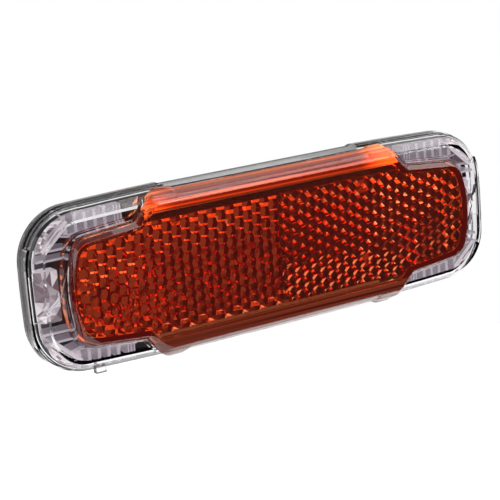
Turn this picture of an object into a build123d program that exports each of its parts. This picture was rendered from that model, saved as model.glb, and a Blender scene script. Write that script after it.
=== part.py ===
"""Rack-mounted bicycle tail light.

Millimetres. X runs along the light, to the right as seen from the front. The front faces -Y,
the mounting face looks along +Y, and +Z is up. The origin is the centre of the mounting face.
Heights in this file are distances in front of the mounting face.
"""
from build123d import *
import os
from math import atan, cos, degrees, pi, sin, sqrt

os.makedirs("parts", exist_ok=True)

# Heights of the main levels in front of the mounting face
FACE = 22.0            # flat front of the red lens
PLATEAU = 19.8         # flat front of the clear lens
SEAT = 18.0            # back edge of the red lens, where the clear lens carries it
SHOULDER = 16.5        # front edge of the rim of the clear lens
RIM_BACK = 12.5        # back edge of the rim, on the flange of the base

# Outline of the clear lens
HALF_LENGTH = 60.3
HALF_HEIGHT = 19.2
END_BOW = 0.7          # how far each short side bulges
TOP_BOW = 1.3          # how far each long side bulges
CORNER = 12.0
WALL = 1.2
RIM_STEP = 0.25        # how far each of the rim's two steps stands out
PLATEAU_INSET_X = 2.4  # how far the front plateau's edge lies inside the rim, at the ends
PLATEAU_INSET_Z = 2.5  # and along the long sides
PLATEAU_CORNER = 9.5
WAIST_HALF = 25.0      # half length of the shallow waist in the long sides
WAIST_HEIGHT = 18.3    # half height there

# Outline of the flat front of the red lens
FACE_TALL = 15.9       # half height of the tall middle
STEP_SUM = 47.2        # x + z along the 45 degree step between middle and wing
WING_ROOT_X = 35.1
WING_ROOT_Z = 12.1
WING_TAPER = 0.094     # fall of the wing's edge per millimetre towards its end
WING_TIP_X = 50.0
WING_END_X = 52.2
LENS_FLARE = 2.9       # how much taller the middle of the red lens is at its back edge
SIDE_FLARE = 1.4       # how far the bevel along the wings and steps reaches out
END_FLARE = 0.6        # and at the ends of the wings
LENS_FRONT = 2.0       # thickness of the red front plate
CAVITY_INSET = 0.9     # wall of the red lens, measured inwards from its front outline
CAVITY_TALL = 14.06    # half height of the hollow behind the tall middle
EDGE_ROUND = 0.35      # rounding of the red lens's front edge

# Cube corners on the back of the red lens
PRISM_PITCH = 2.61
PRISM_STEP = PRISM_PITCH / sqrt(6)
PRISM_REACH = PRISM_PITCH / sqrt(3)
PRISM_BASE = 0.3       # how deep the field is rooted in the front plate
FIELD_TALL = 12.45     # half height of the field in the tall middle
FIELD_INSET = 1.0      # between the field and the front outline of the wings

# Base, board and fasteners
FLANGE_BACK = 11.3
FLOOR = 2.5            # thickness of the wall against the carrier
BOARD_BACK = 10.0
BOARD_FRONT = 11.6
FRAME_BACK = 11.8      # black frame that carries the light guides
FRAME_FRONT = 12.6
TONGUE_FRONT = 15.0
CAVITY_X = 51.0
CAVITY_Z = 12.8
STUD_X = 40.0
STUD_RADIUS = 2.5
STUD_NECK = 2.8        # radius of the plain neck that is pressed into the base
STUD_REACH = 12.0      # how far the studs stand out behind the mounting face
HEAD_SEAT = 3.0        # height of the underside of a stud's head
HEAD_THICK = 3.5
HEX_HALF_WIDTH = 4.0
BOSS_RADIUS = 6.3
BOARD_SCREW_X = 22.0
BOARD_SCREW_Z = 9.0
SCREW_HEAD_RADIUS = 2.0
SCREW_CORE_RADIUS = 0.95
SCREW_LENGTH = 6.5

# Ends
LED_X = 54.4
LED_WIDTH = 3.4
LED_DOME = 1.35        # radius of the dome
GUIDE_IN_X = 37.2
GUIDE_BACK = 12.7
GUIDE_FRONT = 16.2
RIB_X = 40.3           # first slot between the ribs along the wing
RIB_PITCH = 2.3
RIB_GAP = 1.5
RIB_DEPTH = 2.2
SIDE_RIB_Z = 8.8       # first slot between the ribs beside the LED optic
SIDE_RIB_PITCH = 2.0
SIDE_RIB_GAP = 1.4
WINDOW_HALF = 5.6      # half height of the LED optic's window in the end
FACET_HALF = 8.6       # half height of the three-sided facet between wing and window
FACET_REACH = 2.6      # how far its point stands out past the wing's end
FACET_RISE = 0.6       # how far it stands out of the plateau

# Wire clamps
POLE_X = 4.0
KEY_HEIGHT = 7.4
KEY_WIDTH = 3.2
KEY_THICK = 3.0
KEY_TIP = -18.2        # lower end of a key at rest
COLLAR_WIDTH = 4.1     # the collar keeps a key from falling out
COLLAR_Z = -10.35
WIRE_HEIGHT = 4.2
WIRE_RADIUS = 1.2
BLOCK_WIDTH = 17.0
BLOCK_BOTTOM = -15.4
BLOCK_TOP = -5.0
CHAMBER_WIDTH = 4.4
SLOT_X = 2.8           # slot for a contact strip, in the block and the board
SLOT_Z = -3.8          # height of the contact strips' rise to the board


def front_plane(height):
    """Plane parallel to the mounting face, looking forward, with local X and Y along X and Z."""
    return Plane.XZ.offset(height)


def keep(part, name):
    """Label a finished piece and write it under its node's name."""
    part.label = name
    export_step(part, f"parts/{name}.step")


def bowed_outline(inset_x, inset_z, corner):
    """Rounded rectangle with bulging sides: the rim's outline, drawn in along X and Z."""
    end, top = HALF_LENGTH - inset_x, HALF_HEIGHT - inset_z
    corner_x, corner_z = end - END_BOW, top - TOP_BOW
    with BuildSketch() as outline:
        with BuildLine():
            ThreePointArc((-corner_x, corner_z), (0, top), (corner_x, corner_z))
            ThreePointArc((corner_x, corner_z), (end, 0), (corner_x, -corner_z))
            ThreePointArc((corner_x, -corner_z), (0, -top), (-corner_x, -corner_z))
            ThreePointArc((-corner_x, -corner_z), (-end, 0), (-corner_x, corner_z))
        make_face()
        fillet(outline.vertices(), corner)
    return outline.sketch


def inset_outline(inset):
    """The rim's outline drawn in evenly all round."""
    return bowed_outline(inset, inset, CORNER - inset)


def waist_cut():
    """What the shallow waist takes off the upper side of the rim, with sloped ends."""
    with BuildPart() as cut:
        with BuildSketch(front_plane(FLANGE_BACK - 0.1)):
            with BuildLine():
                Polyline(
                    (-WAIST_HALF, WAIST_HEIGHT),
                    (WAIST_HALF, WAIST_HEIGHT),
                    (WAIST_HALF + 3, WAIST_HEIGHT + 1.2),
                    (-WAIST_HALF - 3, WAIST_HEIGHT + 1.2),
                    close=True,
                )
            make_face()
        extrude(amount=SHOULDER - FLANGE_BACK + 1)
        mirror(about=Plane.XY)
    return cut.part


def wing_edge(x, grow=0.0):
    """Half height of the red lens at x along a wing."""
    return WING_ROOT_Z + grow - WING_TAPER * (x - WING_ROOT_X)


def lens_outline(top, side, end, rounding=2.0):
    """Outline of the red lens: tall middle, 45 degree steps and tapered wings with bulging ends.

    It is grown by one distance at the tall edges, one along the wings and one at their ends.
    """
    tall = FACE_TALL + top
    step_sum = STEP_SUM + side * sqrt(2)
    root_x = (step_sum - wing_edge(0, side)) / (1 - WING_TAPER)
    tip_x = WING_TIP_X + end
    tip_z = wing_edge(tip_x, side)
    end_bulge = WING_END_X - WING_TIP_X
    end_radius = (tip_z**2 + end_bulge**2) / (2 * end_bulge)
    with BuildSketch() as outline:
        with BuildLine():
            Polyline(
                (0, tall),
                (step_sum - tall, tall),
                (root_x, wing_edge(root_x, side)),
                (tip_x, tip_z),
            )
            RadiusArc((tip_x, tip_z), (WING_END_X + end, 0), end_radius)
            mirror(about=Plane.YZ)
            mirror(about=Plane.XZ)
        make_face()
        tips = outline.vertices().filter_by(lambda v: abs(abs(v.X) - tip_x) < 0.01)
        fillet(tips, rounding + 2)
        steps = outline.vertices().filter_by(
            lambda v: abs(abs(v.X) - root_x) < 0.01 or abs(abs(v.X) - step_sum + tall) < 0.01
        )
        fillet(steps, rounding)
    return outline.sketch


def lens_form(gap):
    """Outer form of the red lens with a gap round it.

    Its front is bevelled all round, and below that bevel only the tall edges go on flaring.
    """
    tall = LENS_FLARE * (FACE - PLATEAU) / (FACE - SEAT)
    with BuildPart() as form:
        with BuildSketch(front_plane(FACE)):
            add(lens_outline(gap, gap, gap))
        with BuildSketch(front_plane(PLATEAU)):
            add(lens_outline(tall + gap, SIDE_FLARE + gap, END_FLARE + gap, 2.5))
        with BuildSketch(front_plane(SEAT)):
            add(lens_outline(LENS_FLARE + gap, SIDE_FLARE + gap, END_FLARE + gap, 2.5))
        loft(ruled=True)
    return form.part


# Steps, in columns and half rows, from a cell to the neighbour across each of its six edges
NEIGHBOURS = [(1, 1), (0, 2), (-1, 1), (-1, -1), (0, -2), (1, -1)]


def cell_centre(cell):
    """Distance from the middle of the lens, and height, of the cell in a column and half row."""
    column, half_row = cell
    return PRISM_REACH * (1 + 1.5 * column) + 0.05, half_row * PRISM_PITCH / 2


def prism_cells():
    """Cells of one half of the lens: all that reach into the outline of the field."""
    cells = []
    for column in range(23):
        for half_row in range(-11, 12):
            x, z = cell_centre((column, half_row))
            inner_x = x - PRISM_REACH
            limit = min(FIELD_TALL, max(STEP_SUM - inner_x, wing_edge(inner_x)))
            in_column = (column + half_row) % 2 == 0
            if in_column and abs(z) - PRISM_PITCH / 2 < limit and inner_x < WING_END_X:
                cells.append((column, half_row))
    return cells


def prism_field(side):
    """Closed block of cube corners: three square faces to a cell, and a hexagon at its root."""
    valley = FACE - LENS_FRONT - 0.05
    root = FACE - LENS_FRONT + PRISM_BASE
    cells = prism_cells()
    faces = []
    for cell in cells:
        x, z = cell_centre(cell)
        ring = []
        roots = []
        for turn in range(6):
            ring_x = side * (x + PRISM_REACH * cos(turn * pi / 3))
            ring_z = z + PRISM_REACH * sin(turn * pi / 3)
            level = valley - PRISM_STEP * (turn % 2)
            ring.append((ring_x, -level, ring_z))
            roots.append((ring_x, -root, ring_z))
        apex = (side * x, 2 * PRISM_STEP - valley, z)
        faces.append(Face(Wire.make_polygon(roots)))
        for turn in (0, 2, 4):
            square = [apex, ring[turn - 1], ring[turn], ring[(turn + 1) % 6]]
            faces.append(Face(Wire.make_polygon(square)))
        for turn, (columns, half_rows) in enumerate(NEIGHBOURS):
            if (cell[0] + columns, cell[1] + half_rows) not in cells:
                after = (turn + 1) % 6
                wall = [ring[turn], ring[after], roots[after], roots[turn]]
                faces.append(Face(Wire.make_polygon(wall)))
    return Solid(Shell(faces))


def hollow_outline(inset, tall):
    """Outline of the red lens drawn in by an inset, and no taller than a half height."""
    with BuildSketch() as outline:
        add(lens_outline(-inset, -inset, -inset, 1.5))
        Rectangle(2 * HALF_LENGTH, 2 * tall, mode=Mode.INTERSECT)
    return outline.sketch


# The cube corners on the back of the red lens, cut off along the edge of their field. Those of
# the left half are the mirror image of those of the right half.
with BuildPart() as reflex_field:
    add(prism_field(1))
    add(prism_field(-1))
    with BuildSketch(front_plane(SEAT - 1)):
        add(hollow_outline(FIELD_INSET, FIELD_TALL))
    extrude(amount=FACE - SEAT, mode=Mode.INTERSECT)

# The red reflex lens. The long walls of its tall middle flare back to the seat, and are drawn
# in between the two lobes. The cube corners cover the back of the front plate.
with BuildPart() as red_reflector_lens:
    add(lens_form(0))
    with BuildSketch(front_plane(SEAT)):
        with BuildLine():
            Polyline(
                (-WAIST_HALF, WAIST_HEIGHT - 0.05),
                (WAIST_HALF, WAIST_HEIGHT - 0.05),
                (WAIST_HALF + 2.5, WAIST_HEIGHT + 1),
                (-WAIST_HALF - 2.5, WAIST_HEIGHT + 1),
                close=True,
            )
        make_face()
        mirror(about=Plane.XZ)
    waist_angle = degrees(atan((WAIST_HEIGHT - FACE_TALL) / (FACE - SEAT)))
    extrude(amount=FACE - SEAT, taper=-waist_angle, mode=Mode.SUBTRACT)
    front = red_reflector_lens.faces().sort_by(Axis.Y)[0]
    fillet(front.edges(), EDGE_ROUND)
    with BuildSketch(front_plane(SEAT)):
        add(hollow_outline(CAVITY_INSET, CAVITY_TALL))
    extrude(amount=FACE - LENS_FRONT - SEAT, mode=Mode.SUBTRACT)
    add(reflex_field.part)
keep(red_reflector_lens.part, "red_reflector_lens")


# The clear lens: a flat front round the red wings, a sloped shoulder and a rim in three steps.
with BuildPart() as clear_form:
    with BuildSketch(front_plane(SHOULDER)):
        add(inset_outline(2 * RIM_STEP))
    with BuildSketch(front_plane(PLATEAU)):
        add(bowed_outline(PLATEAU_INSET_X, PLATEAU_INSET_Z, PLATEAU_CORNER))
    loft(ruled=True)
    rim_part = (SHOULDER - RIM_BACK) / 3
    for step in range(3):
        with BuildSketch(front_plane(RIM_BACK + step * rim_part)):
            add(inset_outline(step * RIM_STEP))
        extrude(amount=rim_part)

# The ledge that carries the red lens is as wide as the clear form leaves room for.
with BuildPart() as ledge:
    with BuildSketch(front_plane(SHOULDER)):
        add(lens_outline(LENS_FLARE + 0.5, SIDE_FLARE + 0.5, END_FLARE + 0.5, 3.0))
    extrude(amount=PLATEAU - SHOULDER)
    add(clear_form.part, mode=Mode.INTERSECT)

# A wedge in the end lets the LED shine sideways: its apex touches the red wing.
with BuildPart() as end_wedge:
    with BuildSketch(Plane.XY):
        with BuildLine():
            Polyline(
                (WING_END_X + 1.9, -PLATEAU),
                (HALF_LENGTH - PLATEAU_INSET_X, -PLATEAU),
                (HALF_LENGTH, 0.5 - SHOULDER),
                (HALF_LENGTH, 2.5 - SHOULDER),
                (HALF_LENGTH - 1.4, 2.5 - SHOULDER),
                (HALF_LENGTH - 1.7, 0.3 - SHOULDER),
                (WING_END_X + 2.4, WALL - PLATEAU),
                close=True,
            )
        make_face()
    extrude(amount=WINDOW_HALF, both=True)
    with BuildSketch(front_plane(RIM_BACK)):
        with BuildLine():
            Polyline(
                (WING_END_X + 1.8, 0),
                (HALF_LENGTH + 0.1, WINDOW_HALF),
                (HALF_LENGTH + 0.1, -WINDOW_HALF),
                close=True,
            )
        make_face()
    extrude(amount=FACE - RIM_BACK, mode=Mode.INTERSECT)

# The clear lens is its form, hollowed from the back, with the ledge and wedges put back in.
# A pad stands out on the front step of each end, and the nub of the moulding gate on the
# lower edge of the left end.
with BuildPart() as clear_lens:
    add(clear_form.part)
    with BuildSketch(front_plane(RIM_BACK)):
        add(inset_outline(2 * RIM_STEP + WALL))
    extrude(amount=SHOULDER - RIM_BACK, mode=Mode.SUBTRACT)
    with BuildSketch(front_plane(SHOULDER)):
        add(inset_outline(2 * RIM_STEP + WALL))
    with BuildSketch(front_plane(PLATEAU - WALL)):
        add(bowed_outline(PLATEAU_INSET_X + 0.8, PLATEAU_INSET_Z + 0.8, PLATEAU_CORNER - 0.8))
    loft(ruled=True, mode=Mode.SUBTRACT)
    add(ledge.part)
    add(end_wedge.part)
    add(mirror(end_wedge.part, about=Plane.YZ, mode=Mode.PRIVATE))
    with BuildSketch(front_plane(PLATEAU - 0.1)):
        with BuildLine():
            Polyline(
                (WING_END_X + FACET_REACH, 0),
                (WING_TIP_X + 1.5, FACET_HALF),
                (WING_TIP_X - 2, 0),
                (WING_TIP_X + 1.5, -FACET_HALF),
                close=True,
            )
        make_face()
        mirror(about=Plane.YZ)
    extrude(amount=FACET_RISE + 0.1)
    with BuildSketch(front_plane(SHOULDER - 2.3)) as pads:
        add(inset_outline(-0.1))
        Rectangle(2 * HALF_LENGTH + 1, 21.4, mode=Mode.INTERSECT)
        add(inset_outline(2 * RIM_STEP + WALL), mode=Mode.SUBTRACT)
    extrude(amount=2.3)
    with BuildSketch(front_plane(SHOULDER - 1.5)):
        with Locations((-45.5, 0.9 - HALF_HEIGHT)):
            Rectangle(2.4, 1.7)
    extrude(amount=1.5)
    add(waist_cut(), mode=Mode.SUBTRACT)
    add(lens_form(0.04), mode=Mode.SUBTRACT)
    with BuildSketch(front_plane(RIM_BACK)):
        add(hollow_outline(CAVITY_INSET - 0.2, CAVITY_TALL + 0.2))
    extrude(amount=SEAT + 0.5 - RIM_BACK, mode=Mode.SUBTRACT)
keep(clear_lens.part, "clear_lens")


# The black base: a tapered tray with a flange that carries the rim of the clear lens and a
# tongue inside that rim. The studs' heads sit in hexagonal pockets, and the wire clamps look
# out through the lower wall, where the wires come in.
with BuildPart() as base_housing:
    with BuildSketch(front_plane(0)):
        add(bowed_outline(9.0, 5.2, CORNER - 3.5))
    with BuildSketch(front_plane(FLANGE_BACK)):
        add(bowed_outline(1.5, 1.2, CORNER - 1.3))
    loft(ruled=True)
    with BuildSketch(front_plane(FLANGE_BACK)):
        add(inset_outline(0.3))
    extrude(amount=RIM_BACK - FLANGE_BACK)
    tongue_inset = 2 * RIM_STEP + WALL + 0.1
    with BuildSketch(front_plane(RIM_BACK)):
        add(inset_outline(tongue_inset))
    extrude(amount=TONGUE_FRONT - RIM_BACK)
    add(waist_cut(), mode=Mode.SUBTRACT)
    with BuildSketch(front_plane(FRAME_BACK)):
        add(inset_outline(tongue_inset + 1.1))
    extrude(amount=TONGUE_FRONT - FRAME_BACK, mode=Mode.SUBTRACT)
    with BuildSketch(front_plane(BOARD_BACK)):
        add(inset_outline(tongue_inset + 1.9))
    extrude(amount=FRAME_BACK - BOARD_BACK, mode=Mode.SUBTRACT)
    with BuildSketch(front_plane(FLOOR)):
        RectangleRounded(2 * CAVITY_X, 2 * CAVITY_Z, 5)
    extrude(amount=BOARD_BACK - FLOOR, mode=Mode.SUBTRACT)
    with BuildSketch(front_plane(FLOOR)):
        with Locations((-STUD_X, 0), (STUD_X, 0)):
            Circle(BOSS_RADIUS)
    extrude(amount=4.1)
    with BuildSketch(front_plane(FLOOR)):
        with GridLocations(2 * BOARD_SCREW_X, 2 * BOARD_SCREW_Z, 2, 2):
            Circle(2.5)
    extrude(amount=BOARD_BACK - FLOOR)
    with BuildSketch(front_plane(HEAD_SEAT)):
        with Locations((-STUD_X, 0), (STUD_X, 0)):
            RegularPolygon(HEX_HALF_WIDTH + 0.05, 6, major_radius=False)
    extrude(amount=HEAD_THICK + 0.5, mode=Mode.SUBTRACT)
    with BuildSketch(front_plane(0)):
        with Locations((-STUD_X, 0), (STUD_X, 0)):
            Circle(STUD_NECK)
    extrude(amount=HEAD_SEAT, mode=Mode.SUBTRACT)
    with BuildSketch(front_plane(FLOOR)):
        with GridLocations(2 * BOARD_SCREW_X, 2 * BOARD_SCREW_Z, 2, 2):
            Circle(1.0)
    extrude(amount=BOARD_BACK - FLOOR, mode=Mode.SUBTRACT)
    with BuildSketch(front_plane(FLOOR)):
        with Locations((0, -HALF_HEIGHT + 4)):
            Rectangle(17.2, 8)
    extrude(amount=7.0, mode=Mode.SUBTRACT)
    with BuildSketch(front_plane(0)):
        with Locations((-20, 0), (20, 0)):
            RectangleRounded(22, 16, 2)
    extrude(amount=0.8, mode=Mode.SUBTRACT)
keep(base_housing.part, "base_housing")


# The studs are hexagon-head bolts put in from the front, with chamfered ends. A plain neck,
# wider than the thread, holds each one in the base.
with BuildPart() as mounting_studs:
    with BuildSketch(front_plane(HEAD_SEAT)):
        with Locations((-STUD_X, 0), (STUD_X, 0)):
            RegularPolygon(HEX_HALF_WIDTH, 6, major_radius=False)
    extrude(amount=HEAD_THICK)
    with BuildSketch(front_plane(HEAD_SEAT)):
        with Locations((-STUD_X, 0), (STUD_X, 0)):
            Circle(STUD_NECK)
    extrude(amount=-HEAD_SEAT)
    with BuildSketch(front_plane(0)):
        with Locations((-STUD_X, 0), (STUD_X, 0)):
            Circle(STUD_RADIUS)
    extrude(amount=-STUD_REACH)
    ends = mounting_studs.faces().filter_by(Axis.Y).group_by(Axis.Y)[-1]
    chamfer(ends.edges(), 0.6)
keep(mounting_studs.part, "mounting_studs")


# The black frame carries the light guides and hides the board. It has a window for each LED
# and holes over the board screws.
with BuildPart() as carrier_frame:
    with BuildSketch(front_plane(FRAME_BACK)):
        add(inset_outline(tongue_inset + 1.2))
        with Locations((-LED_X, 0), (LED_X, 0)):
            Rectangle(4.0, 4.4, mode=Mode.SUBTRACT)
        with GridLocations(2 * BOARD_SCREW_X, 2 * BOARD_SCREW_Z, 2, 2):
            Circle(2.3, mode=Mode.SUBTRACT)
        with Locations((-POLE_X, SLOT_Z), (POLE_X, SLOT_Z)):
            Rectangle(SLOT_X + 0.2, 1.2, mode=Mode.SUBTRACT)
    extrude(amount=FRAME_FRONT - FRAME_BACK)
    with BuildSketch(front_plane(FRAME_FRONT)):
        with Locations((0, 11.5), (0, -11.5)):
            Rectangle(60, 1.0)
    extrude(amount=2.5)
keep(carrier_frame.part, "carrier_frame")


# The board, with clearance for its screws and slots for the contact strips.
with BuildPart() as circuit_board:
    with BuildSketch(front_plane(BOARD_BACK)):
        add(bowed_outline(tongue_inset + 2.1, tongue_inset + 3.0, CORNER - 4.1))
        with GridLocations(2 * BOARD_SCREW_X, 2 * BOARD_SCREW_Z, 2, 2):
            Circle(1.2, mode=Mode.SUBTRACT)
        with Locations((-POLE_X, SLOT_Z), (POLE_X, SLOT_Z)):
            Rectangle(SLOT_X - 0.2, 0.6, mode=Mode.SUBTRACT)
    extrude(amount=BOARD_FRONT - BOARD_BACK)
keep(circuit_board.part, "circuit_board")


# Four self-tapping screws with cross recesses hold the board down.
with BuildPart() as board_screws:
    with BuildSketch(front_plane(BOARD_FRONT)):
        with GridLocations(2 * BOARD_SCREW_X, 2 * BOARD_SCREW_Z, 2, 2):
            Circle(SCREW_HEAD_RADIUS)
    extrude(amount=1.1)
    chamfer(board_screws.faces().sort_by(Axis.Y)[:4].edges(), 0.4)
    with BuildSketch(front_plane(BOARD_FRONT)):
        with GridLocations(2 * BOARD_SCREW_X, 2 * BOARD_SCREW_Z, 2, 2):
            Circle(SCREW_CORE_RADIUS)
    extrude(amount=-SCREW_LENGTH)
    with BuildSketch(front_plane(BOARD_FRONT + 0.5)):
        with GridLocations(2 * BOARD_SCREW_X, 2 * BOARD_SCREW_Z, 2, 2):
            Rectangle(2.0, 0.4)
            Rectangle(0.4, 2.0)
    extrude(amount=1, mode=Mode.SUBTRACT)
keep(board_screws.part, "board_screws")


# Each LED is a square package with a domed lens.
with BuildPart() as led_right:
    with BuildSketch(front_plane(BOARD_FRONT)):
        with Locations((LED_X, 0)):
            Rectangle(LED_WIDTH, LED_WIDTH)
    extrude(amount=0.8)
    dome_root = -BOARD_FRONT - 0.6
    with BuildSketch(Plane.XY):
        with BuildLine():
            Line((LED_X, dome_root), (LED_X, dome_root - 1))
            RadiusArc((LED_X, dome_root - 1), (LED_X + LED_DOME, dome_root - 0.2), 1.5)
            Line((LED_X + LED_DOME, dome_root - 0.2), (LED_X + LED_DOME, dome_root))
            Line((LED_X + LED_DOME, dome_root), (LED_X, dome_root))
        make_face()
    revolve(axis=Axis((LED_X, 0, 0), (0, 1, 0)))
keep(led_right.part, "led_right")
keep(mirror(led_right.part, about=Plane.YZ), "led_left")


# Each light guide follows three sides of a wing. Slots across its front leave the ribs that
# glow, and a pocket at its middle takes the LED's optic, over a hole for the LED.
with BuildPart() as light_guide_right:
    with BuildSketch(front_plane(GUIDE_BACK)):
        add(inset_outline(tongue_inset + 1.3))
        add(lens_outline(1.3, 1.3, 1.3), mode=Mode.SUBTRACT)
        with Locations((GUIDE_IN_X + 20, 0)):
            Rectangle(40, 40, mode=Mode.INTERSECT)
    extrude(amount=GUIDE_FRONT - GUIDE_BACK)
    with BuildSketch(front_plane(GUIDE_FRONT - RIB_DEPTH)):
        for rib in range(5):
            with Locations((RIB_X + rib * RIB_PITCH, 0)):
                Rectangle(RIB_GAP, 2 * HALF_HEIGHT)
        for rib in range(2):
            side_z = SIDE_RIB_Z + rib * SIDE_RIB_PITCH
            with Locations((LED_X + 0.6, side_z), (LED_X + 0.6, -side_z)):
                Rectangle(10, SIDE_RIB_GAP)
    extrude(amount=RIB_DEPTH + 0.1, mode=Mode.SUBTRACT)
    with BuildSketch(front_plane(GUIDE_BACK + 0.6)):
        with Locations((LED_X, 0)):
            Rectangle(12, 2 * WINDOW_HALF - 0.2)
    extrude(amount=5, mode=Mode.SUBTRACT)
    with BuildSketch(front_plane(GUIDE_BACK)):
        with Locations((LED_X + 0.3, 0)):
            Rectangle(3.7, 3.8)
    extrude(amount=1, mode=Mode.SUBTRACT)
keep(light_guide_right.part, "light_guide_right")
keep(mirror(light_guide_right.part, about=Plane.YZ), "light_guide_left")


# Each LED optic is a faceted wedge that sends the light both ways into the guide.
with BuildPart() as led_lens_right:
    with BuildSketch(front_plane(GUIDE_BACK + 0.7)):
        with BuildLine():
            Polyline(
                (LED_X - 0.5, 0),
                (LED_X + 0.5, WINDOW_HALF - 0.4),
                (LED_X + 2.6, WINDOW_HALF - 0.4),
                (LED_X + 2.6, 0.4 - WINDOW_HALF),
                (LED_X + 0.5, 0.4 - WINDOW_HALF),
                close=True,
            )
        make_face()
    extrude(amount=2.8, taper=8)
    with BuildSketch(Plane.YZ.offset(LED_X - 2)):
        for z in (-2.4, 0, 2.4):
            with BuildLine():
                Polyline((-16.4, z - 0.9), (-14.6, z), (-16.4, z + 0.9), close=True)
            make_face()
    extrude(amount=6, mode=Mode.SUBTRACT)
keep(led_lens_right.part, "led_lens_right")
keep(mirror(led_lens_right.part, about=Plane.YZ), "led_lens_left")


def board_part(name, x, z, length, width, height):
    """A block-shaped component soldered to the back of the board, with softened edges."""
    with BuildPart() as component:
        with BuildSketch(front_plane(BOARD_BACK)):
            with Locations((x, z)):
                Rectangle(length, width)
        extrude(amount=-height)
        chamfer(component.faces().sort_by(Axis.Y)[-1].edges(), 0.2)
    keep(component.part, name)


board_part("bridge_rectifier", 15.0, -3.0, 6.5, 6.2, 2.6)
board_part("driver_chip", 27.0, 0, 5.0, 4.0, 1.6)
board_part("power_inductor", -15.5, -7.0, 6.0, 6.0, 3.0)

# The standlight capacitor is a coin cell shape, and the smoothing capacitor a can on its side.
with BuildPart() as standlight_capacitor:
    with BuildSketch(front_plane(BOARD_BACK)):
        with Locations((-12.0, 4.0)):
            Circle(6.7)
    extrude(amount=-7.0)
    chamfer(standlight_capacitor.edges().filter_by(GeomType.CIRCLE), 0.5)
keep(standlight_capacitor.part, "standlight_capacitor")

with BuildPart() as smoothing_capacitor:
    with BuildSketch(Plane.YZ.offset(8.6)):
        with Locations((3.2 - BOARD_BACK, 5.6)):
            Circle(3.15)
    extrude(amount=8.5)
    chamfer(smoothing_capacitor.edges().filter_by(GeomType.CIRCLE), 0.4)
keep(smoothing_capacitor.part, "smoothing_capacitor")

with BuildPart() as small_components:
    with BuildSketch(front_plane(BOARD_BACK)):
        with GridLocations(2.6, 2.2, 2, 4):
            Rectangle(1.6, 0.8)
        with Locations((-30, 0)):
            with GridLocations(3.0, 2.4, 2, 3):
                Rectangle(2.0, 1.25)
    extrude(amount=-0.6)
keep(small_components.part, "small_components")

# A brass strip joins the head of the right stud to the board: the frame of the bicycle is earth.
with BuildPart() as ground_spring:
    with BuildSketch(Plane.XY):
        with BuildLine() as strip:
            Polyline(
                (STUD_X + 2.5, -6.75),
                (STUD_X - 3.0, -6.75),
                (STUD_X - 7.0, 0.25 - BOARD_BACK),
                (STUD_X - 9.5, 0.25 - BOARD_BACK),
            )
            offset(amount=0.2, side=Side.BOTH)
        make_face()
    extrude(amount=1.5, both=True)
keep(ground_spring.part, "ground_spring")


# The clamp block holds two spring clamps side by side. Each has a funnel and a bore for the
# wire, a chamber above them, and a guide for the key that opens the clamp.
with BuildPart() as terminal_housing:
    with BuildSketch(front_plane(FLOOR + 0.1)):
        with Locations((0, (BLOCK_BOTTOM + BLOCK_TOP) / 2)):
            Rectangle(BLOCK_WIDTH, BLOCK_TOP - BLOCK_BOTTOM)
    extrude(amount=6.8)
    with BuildSketch(Plane.XY.offset(COLLAR_Z - 0.05)):
        with Locations((-POLE_X, -KEY_HEIGHT), (POLE_X, -KEY_HEIGHT)):
            Rectangle(CHAMBER_WIDTH, KEY_THICK + 0.3)
    extrude(amount=4.4, mode=Mode.SUBTRACT)
    with BuildSketch(Plane.XY.offset(-9.0)):
        with Locations((-POLE_X, -6.0), (POLE_X, -6.0)):
            Rectangle(CHAMBER_WIDTH, 6.1)
    extrude(amount=3.0, mode=Mode.SUBTRACT)
    with BuildSketch(Plane.XY.offset(BLOCK_BOTTOM)):
        with Locations((-POLE_X, -KEY_HEIGHT), (POLE_X, -KEY_HEIGHT)):
            Rectangle(KEY_WIDTH + 0.3, KEY_THICK + 0.3)
    extrude(amount=6, mode=Mode.SUBTRACT)
    with BuildSketch(Plane.XY.offset(BLOCK_BOTTOM)):
        with Locations((-POLE_X, -WIRE_HEIGHT), (POLE_X, -WIRE_HEIGHT)):
            Circle(WIRE_RADIUS)
    extrude(amount=7, mode=Mode.SUBTRACT)
    mouths = terminal_housing.faces().sort_by(Axis.Z)[0].edges().filter_by(GeomType.CIRCLE)
    chamfer(mouths, 0.25)
    with BuildSketch(Plane.XY.offset(-6.5)):
        with Locations((-POLE_X, -3.3), (POLE_X, -3.3)):
            Rectangle(SLOT_X, 0.7)
    extrude(amount=2, mode=Mode.SUBTRACT)
keep(terminal_housing.part, "terminal_housing")


def terminal_key(x):
    """A key that is pushed up to open its clamp; a collar keeps it from falling out."""
    with BuildPart() as key:
        with BuildSketch(Plane.XY.offset(KEY_TIP)):
            with Locations((x, -KEY_HEIGHT)):
                Rectangle(KEY_WIDTH, KEY_THICK)
        extrude(amount=9.8)
        with BuildSketch(Plane.XY.offset(COLLAR_Z)):
            with Locations((x, -KEY_HEIGHT)):
                Rectangle(COLLAR_WIDTH, KEY_THICK)
        extrude(amount=1.2)
        fillet(key.faces().sort_by(Axis.Z)[0].edges(), 0.5)
    return key.part


def bent_strip(x, points, width):
    """A metal strip 0.3 thick, centred on x, bent along points given as height and Z."""
    with BuildPart() as strip:
        with BuildSketch(Plane.YZ.offset(x - width / 2)):
            with BuildLine():
                Polyline([(-height, z) for height, z in points])
                offset(amount=0.15, side=Side.BOTH)
            make_face()
        extrude(amount=width)
    return strip.part


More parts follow.
